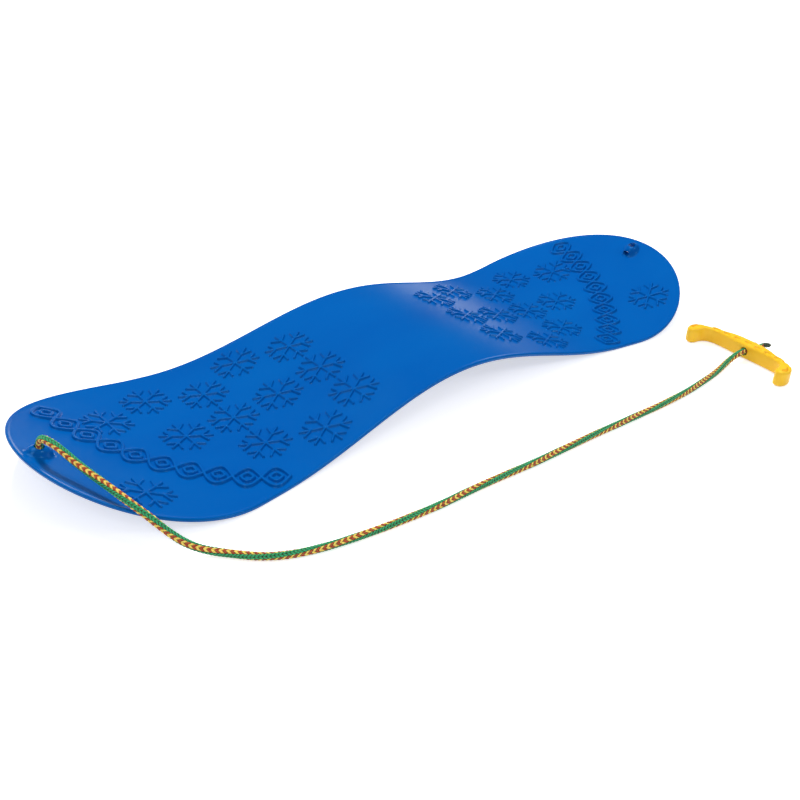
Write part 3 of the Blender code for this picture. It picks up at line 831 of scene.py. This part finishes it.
def make_braid(name, line, length, radius, turn, singed_and_shaded=0.0, sides=96):
    """A plaited rope: four columns of chevrons, two of them green, two yellow and red by turns."""
    first, second = carried_frames(line)
    along = np.linspace(0, length, len(line))[:, None]
    around = np.arange(sides)[None, :] / sides
    column = around * COLUMNS + 0 * along
    wide = np.floor(column).astype(int)
    across = np.abs((column - wide) * 2 - 1)
    ease = np.clip(np.minimum(along, length - along) / EVEN_END, 0.0, 1.0)
    along = along + LOBE * CHEVRON * (across - 0.5) * ease
    row = along / LOBE - CHEVRON * across + 0.5 * (wide % 2)
    stitch = np.floor(row)
    middle = (row - stitch) * 2 - 1
    arm = across * 2 - 1
    bulge = np.sqrt(np.clip(1 - middle ** 2, 0.0, 1.0)) * np.sqrt(1 - BRAID_SQUARING * arm ** 2)
    surface = radius * (BRAID_CORE + BRAID_BULGE * bulge)
    if singed_and_shaded:
        fade = np.clip((length - along) / (SINGED_TAPER * singed_and_shaded), 0.0, 1.0)
        surface = surface * np.sqrt(np.clip(1 - (1 - fade) ** 2, SINGED_LEAST, 1.0))
    angle = 2 * math.pi * (around - 0.5 / COLUMNS + turn - along / ROPE_TWIST)
    place = along / length * (len(line) - 1)
    before = np.clip(np.floor(place).astype(int), 0, len(line) - 2)
    part = (place - before)[..., None]
    middle_line, one, two = (
        table[before] * (1 - part) + table[before + 1] * part for table in (line, first, second))
    offset = np.cos(angle)[..., None] * one + np.sin(angle)[..., None] * two
    points = middle_line + offset * surface[..., None]
    count = len(line)
    number = np.arange(count * sides).reshape(count, sides)
    after = np.roll(number, -1, axis=1)
    quads = np.stack([number[:-1], after[:-1], after[1:], number[1:]], -1).reshape(-1, 4)
    points = points.reshape(-1, 3)
    caps = np.array([line[0], line[-1]])
    faces = quads.tolist()
    faces += [(len(points), int(after[0, k]), int(number[0, k])) for k in range(sides)]
    faces += [(len(points) + 1, int(number[-1, k]), int(after[-1, k])) for k in range(sides)]
    mesh = mesh_from_arrays(name, np.concatenate([points, caps]), faces)
    shade_smooth(mesh)
    piece = new_object(name, mesh, yarn_green, yarn_yellow, yarn_red, yarn_shadow)
    kind = np.where(wide % 2 == 0, np.where(stitch % 2 == 0, 1, 2), 0)
    kind = np.where(bulge < np.where(kind == 0, GREEN_SHADOW, STRIPE_SHADOW), 3, kind)
    # The tail's last stretch takes the dark groove colour: partly its melted end, partly painted shade
    # where it lies behind the handle.
    if singed_and_shaded:
        kind = np.where(along > length - singed_and_shaded, 3, kind)
    last = 3 if singed_and_shaded else 0
    index = kind[:-1].reshape(-1).tolist() + [0] * sides + [last] * sides
    mesh.polygons.foreach_set("material_index", index)
    return piece


def make_rope():
    """The braid from knot to knot, with the points that its middle follows and its length."""
    line, length = rope_line(LOBE / LOBE_POINTS)
    rope = make_braid("tow_rope_braid", line, length, rope_radius, ROPE_TURN)
    path, _ = rope_line(PATH_SPACING)
    return rope, path, length


# The tied knot's middle line: along the bore, across it and up, from the handle's back
TIED_ROUTE = [
    (0.0000, 0.0000, 0.0000),
    (0.0022, 0.0004, 0.0000),
    (0.0048, 0.0024, 0.0006),
    (0.0074, 0.0036, -0.0012),
    (0.0074, 0.0018, -0.0036),
    (0.0046, -0.0018, -0.0046),
    (0.0024, -0.0042, -0.0022),
    (0.0030, -0.0038, 0.0002),
    (0.0054, -0.0006, 0.0010),
    (0.0074, 0.0026, 0.0004),
    (0.0090, 0.0030, -0.0020),
    (0.0106, 0.0006, -0.0024),
    (0.0138, -0.0012, -0.0010),
    (0.0190, -0.0022, -0.0012),
    (0.0262, -0.0034, -0.0024),
]
TIED_RADIUS = 0.0024
TIED_TURN = 0.3
TIED_SPACING = 0.00035
TIED_SAMPLES = 700
TIED_SIDES = 64
# Length of the tail's dark stretch: its melted end plus painted shade behind the handle.
SINGED_AND_SHADED_TAIL = 0.0120
LUMP_TOP = 0.0030
LUMP_COUNT = 3
LUMP_LEAN = 7.0
LUMP_CORE = 0.90
LUMP_SWELL = 0.09


def make_eyelet_knot():
    """The rope's end, tied tight and melted into a lumpy bead inside the left boss."""
    radius = EYELET_KNOT_DIAMETER / 2
    matrix = frame_at(pocket_centre(-1), Vector((0.0, 1.0, 0.0)), hole_axis(-1))
    bm = bmesh.new()
    bmesh.ops.create_uvsphere(bm, u_segments=48, v_segments=32, radius=1.0)
    for vert in bm.verts:
        x, y, z = vert.co
        coil = 0.5 + 0.5 * math.cos(LUMP_COUNT * math.atan2(y, x) + LUMP_LEAN * z)
        vert.co = vert.co * (radius * (LUMP_CORE + LUMP_SWELL * coil))
        vert.co.z = min(vert.co.z, LUMP_TOP)
    bm.transform(matrix)
    mesh = mesh_of(bm, "eyelet_knot_lump")
    shade_smooth(mesh)
    return new_object("eyelet_knot_lump", mesh, yarn_green)


def make_handle_knot():
    """An overhand knot pulled tight behind the handle, with the rope's sealed tail, dark from its melting
    and from painted shade.
    """
    axis = np.array(handle_axis())
    sideways = np.array((-axis[1], axis[0], 0.0))
    up = np.array((0.0, 0.0, 1.0))
    origin = np.array(handle_point(GRIP_DEPTH + SEAT_GAP))
    points = [origin + axis * a + sideways * b + up * c for a, b, c in TIED_ROUTE]
    at, total = smooth_curve(points, axis, axis)
    dense = np.array([at(s) for s in np.linspace(0, total, TIED_SAMPLES)])
    place = running_length(dense)
    line = evenly(dense, place, int(place[-1] / TIED_SPACING))
    return make_braid(
        "handle_knot_tied", line, place[-1], TIED_RADIUS, TIED_TURN, singed_and_shaded=SINGED_AND_SHADED_TAIL, sides=TIED_SIDES)


# Handle

HANDLE_EDGE = 0.0032
EDGE_STEPS = 7
OUTLINE_STEPS = 6
HANDLE_VOXEL = 0.0004
RECESS_FOLLOW = 1.4
RECESS_RIM = 0.0005
RECESS_MOUTH = 1.10
RECESS_WALL = 0.30
RIM_REACH = 1.22
RIM_SPREAD = 0.13
HOOK_POCKET_WIDTH = 0.0042
HOOK_POCKET_DEPTH = 0.0026
HOOK_POCKET_WALL = 0.0007
HOOK_POCKET = [
    (0.0036, 0.0425), (0.0010, 0.0490), (-0.0038, 0.0532), (-0.0092, 0.0545), (-0.0135, 0.0535),
]


def handle_half_outline():
    """One half of the handle seen from above: (depth along the bore, distance along its length)."""
    end = HANDLE_SPAN / 2
    return [
        (GRIP_DEPTH, 0.0),
        (GRIP_DEPTH * 0.97, 0.20 * end),
        (GRIP_DEPTH * 0.855, 0.36 * end),
        (ARM_DEPTH * 1.30, 0.515 * end),
        (ARM_DEPTH, 0.67 * end),
        (ARM_DEPTH * 0.67, 0.80 * end),
        (ARM_DEPTH * 0.06, 0.91 * end),
        (HOOK_REACH * -0.28, 0.98 * end),
        (HOOK_REACH * -0.61, end),
        (HOOK_REACH * -0.88, 0.97 * end),
        (-HOOK_REACH, 0.90 * end),
        (HOOK_REACH * -0.96, 0.83 * end),
        (HOOK_REACH * -0.74, 0.785 * end),
        (HOOK_REACH * -0.43, 0.77 * end),
        (HOOK_REACH * -0.16, 0.725 * end),
        (HOOK_REACH * -0.01, 0.62 * end),
        (ARM_DEPTH * 0.08, 0.43 * end),
        (ARM_DEPTH * 0.045, 0.20 * end),
    ]


def recess_places():
    """Centres of the small oval recesses along the front of the handle's upper face."""
    places = []
    for index in range(RECESS_COUNT):
        across = (index - (RECESS_COUNT - 1) / 2) * RECESS_PITCH
        share = abs(across) / (HANDLE_SPAN / 2)
        depth = (GRIP_DEPTH + (ARM_DEPTH - GRIP_DEPTH) * share * RECESS_FOLLOW) * RECESS_SHARE
        places.append((depth, across))
    return places


def smooth_loop(points, steps):
    """A closed curve through the points, as this many points between each two."""
    points = np.array(points)
    count = len(points)
    result = []
    for i in range(count):
        a, b, c, d = (points[(i + k) % count] for k in (-1, 0, 1, 2))
        for step in range(steps):
            t = step / steps
            result.append(0.5 * (
                2 * b + (c - a) * t + (2 * a - 5 * b + 4 * c - d) * t * t
                + (3 * b - a - 3 * c + d) * t ** 3))
    return np.array(result)


def handle_blank():
    """The handle as a closed body with round upper and lower edges, in its own frame."""
    half = handle_half_outline()
    outline = half + [(0.0, 0.0)] + [(x, -y) for x, y in reversed(half[1:])]
    loop = smooth_loop(outline, OUTLINE_STEPS)
    way = np.roll(loop, -1, axis=0) - np.roll(loop, 1, axis=0)
    way = way / np.linalg.norm(way, axis=1)[:, None]
    inward = np.stack([-way[:, 1], way[:, 0]], 1)
    bm = bmesh.new()
    rings = []
    top = HANDLE_HEIGHT / 2
    for step in [*range(-EDGE_STEPS, 0), *range(1, EDGE_STEPS + 1)]:
        angle = math.pi / 2 * abs(step) / EDGE_STEPS
        height = (top - HANDLE_EDGE + HANDLE_EDGE * math.sin(angle)) * (1 if step > 0 else -1)
        ring = loop + inward * (HANDLE_EDGE * (1 - math.cos(angle)))
        rings.append([bm.verts.new((x, y, height)) for x, y in ring])
    for low, high in zip(rings, rings[1:]):
        for i in range(len(low)):
            j = (i + 1) % len(low)
            bm.faces.new((low[i], low[j], high[j], high[i]))
    bm.faces.new(list(reversed(rings[0])))
    bm.faces.new(rings[-1])
    return mesh_of(bm, "handle_body")


def face_change(depth, across):
    """Change in the upper face's height: down in recesses and hook pockets, up at recess borders."""
    change = np.zeros(len(depth))
    for place_depth, place_across in recess_places():
        reach = np.hypot(
            (depth - place_depth) / (RECESS_WIDTH / 2), (across - place_across) / (RECESS_LENGTH / 2))
        share = np.clip((RECESS_MOUTH - reach) / RECESS_WALL, 0.0, 1.0)
        change -= RECESS_DEPTH * share * share * (3 - 2 * share)
        change += RECESS_RIM * np.exp(-((reach - RIM_REACH) / RIM_SPREAD) ** 2)
    pocket = np.full(len(depth), 1.0)
    for one, two in zip(HOOK_POCKET, HOOK_POCKET[1:]):
        pocket = np.minimum(pocket, segment_distance(depth, np.abs(across), one, two))
    share = np.clip((HOOK_POCKET_WIDTH / 2 - pocket) / HOOK_POCKET_WALL, 0.0, 1.0)
    return change - HOOK_POCKET_DEPTH * share * share * (3 - 2 * share)


def make_handle():
    """The moulded handle: rounded bow, hooked ends, bore, finger recesses and hook pockets."""
    handle = new_object("handle_body", handle_blank(), handle_plastic)
    turned = Matrix.Rotation(math.pi / 2, 4, "Y")
    reach = 2 * GRIP_DEPTH
    bore = cylinder_mesh("bore", rope_radius + BORE_CLEARANCE, -reach, reach, turned)
    cut(handle, bore)
    remesh = handle.modifiers.new("even", "REMESH")
    remesh.mode = "VOXEL"
    remesh.voxel_size = HANDLE_VOXEL
    soften = handle.modifiers.new("soften", "SMOOTH")
    soften.factor = 0.5
    soften.iterations = 3
    apply_modifiers(handle)
    mesh = handle.data
    points = np.zeros(len(mesh.vertices) * 3)
    mesh.vertices.foreach_get("co", points)
    points = points.reshape(-1, 3)
    upper = np.clip((points[:, 2] - (HANDLE_HEIGHT / 2 - HANDLE_EDGE)) / HANDLE_EDGE, 0.0, 1.0)
    points[:, 2] += face_change(points[:, 0], points[:, 1]) * upper
    mesh.vertices.foreach_set("co", points.reshape(-1))
    mesh.transform(frame_at(handle_point(0.0), handle_axis(), Vector((0.0, 0.0, 1.0))))
    mesh.update()
    shade_smooth(mesh)
    return handle


# Floor, lights and world

FLOOR_REACH = 6.0
FLOOR_DROP = 0.0004
FLOOR_LIFT = 0.60
WORLD_LEVEL = 0.50
STUDIO_GLOSS = [
    (0.0, 0.40), (0.08, 0.34), (0.13, 0.09), (0.19, 0.02), (0.55, 0.008), (0.90, 0.010), (0.96, 4.0),
]


def make_stage():
    """A pale floor that looks white to the camera and in gloss, and keeps the object's shadow."""
    bm = bmesh.new()
    bmesh.ops.create_grid(bm, x_segments=1, y_segments=1, size=FLOOR_REACH)
    bm.transform(Matrix.Translation((0.0, 0.0, -FLOOR_DROP)))
    mesh = mesh_of(bm, "floor")
    material, shader = shader_material("floor_white", (0.86, 0.86, 0.86), 0.9)
    rays = add_node(material, "ShaderNodeLightPath")
    lift = add_node(material, "ShaderNodeEmission")
    either = add_node(material, "ShaderNodeMath", operation="MAXIMUM")
    scale = add_node(material, "ShaderNodeMath", operation="MULTIPLY")
    scale.inputs[1].default_value = FLOOR_LIFT
    both = add_node(material, "ShaderNodeAddShader")
    output = material.node_tree.nodes["Material Output"]
    link(material, rays.outputs["Is Camera Ray"], either.inputs[0])
    link(material, rays.outputs["Is Glossy Ray"], either.inputs[1])
    link(material, either.outputs[0], scale.inputs[0])
    link(material, scale.outputs[0], lift.inputs["Strength"])
    link(material, shader.outputs["BSDF"], both.inputs[0])
    link(material, lift.outputs["Emission"], both.inputs[1])
    link(material, both.outputs["Shader"], output.inputs["Surface"])
    floor = new_object("floor", mesh, material)


def add_area_light(name, place, size, power, mirrored=True):
    """A square lamp aimed at the middle of the board. Gloss doesn't show one that isn't mirrored."""
    data = bpy.data.lights.new(name, "AREA")
    data.shape = "SQUARE"
    data.size = size
    data.energy = power
    lamp = bpy.data.objects.new(name, data)
    lamp.visible_glossy = mirrored
    rotation = Vector(place).normalized().to_track_quat("Z", "Y")
    lamp.matrix_world = Matrix.Translation(place) @ rotation.to_matrix().to_4x4()
    bpy.context.scene.collection.objects.link(lamp)


def make_world():
    """Even soft light; gloss mirrors a pale wall low down, a dim room and a lamp straight above."""
    world = bpy.data.worlds.new("studio")
    bpy.context.scene.world = world
    world.use_nodes = True
    nodes = world.node_tree.nodes
    links = world.node_tree.links
    background = nodes["Background"]
    background.inputs["Color"].default_value = (1.0, 1.0, 1.0, 1.0)
    place = nodes.new("ShaderNodeTexCoord")
    parts = nodes.new("ShaderNodeSeparateXYZ")
    wall = nodes.new("ShaderNodeValToRGB")
    stops = wall.color_ramp.elements
    while len(stops) < len(STUDIO_GLOSS):
        stops.new(0.5)
    for stop, (height, strength) in zip(stops, STUDIO_GLOSS):
        stop.position = height
        stop.color = (strength, strength, strength, 1.0)
    rays = nodes.new("ShaderNodeLightPath")
    gloss = nodes.new("ShaderNodeMapRange")
    gloss.inputs["To Min"].default_value = WORLD_LEVEL
    seen = nodes.new("ShaderNodeMath")
    seen.operation = "MAXIMUM"
    level = nodes.new("ShaderNodeMapRange")
    level.inputs["To Max"].default_value = 1.0
    links.new(place.outputs["Generated"], parts.inputs["Vector"])
    links.new(parts.outputs["Z"], wall.inputs["Fac"])
    links.new(rays.outputs["Is Glossy Ray"], gloss.inputs["Value"])
    links.new(wall.outputs["Color"], gloss.inputs["To Max"])
    links.new(rays.outputs["Is Camera Ray"], seen.inputs[0])
    links.new(rays.outputs["Is Transmission Ray"], seen.inputs[1])
    links.new(seen.outputs[0], level.inputs["Value"])
    links.new(gloss.outputs["Result"], level.inputs["To Min"])
    links.new(level.outputs["Result"], background.inputs["Strength"])


make_camera()
board_plastic = make_board_plastic()
handle_plastic = make_handle_plastic()
yarn_green = make_yarn("yarn_green", (0.010, 0.26, 0.090), (0.022, 0.48, 0.18))
yarn_yellow = make_yarn("yarn_yellow", (0.88, 0.54, 0.05), (1.0, 0.80, 0.17))
yarn_red = make_yarn("yarn_red", (0.27, 0.028, 0.005), (0.55, 0.085, 0.012))
yarn_shadow = make_yarn("yarn_shadow", (0.004, 0.020, 0.006), (0.022, 0.055, 0.014))

rope, rope_path, rope_length = make_rope()
eyelet_knot = make_eyelet_knot()
handle_knot = make_handle_knot()
handle = make_handle()
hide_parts("tow_rope")
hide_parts("eyelet_knot")
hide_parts("handle_knot")
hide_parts("tow_handle")
for piece in (rope, eyelet_knot, handle_knot):
    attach(piece, "board")
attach(handle, "handle")
tuple(rope_path[0])
[tuple(p) for p in rope_path]

shell = make_board_shell()
relief = make_relief()
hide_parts("board")
for piece in (shell, relief, make_boss("boss_left", -1), make_boss("boss_right", 1)):
    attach(piece, "board")

make_stage()
make_world()
add_area_light("key", (0.60, 1.65, 2.25), 0.5, 63, mirrored=False)
add_area_light("front", (-1.5, -1.2, 1.9), 0.9, 11)
add_area_light("side", (1.15, -1.85, 1.5), 0.5, 8)
bpy.context.scene.view_settings.view_transform = "Standard"
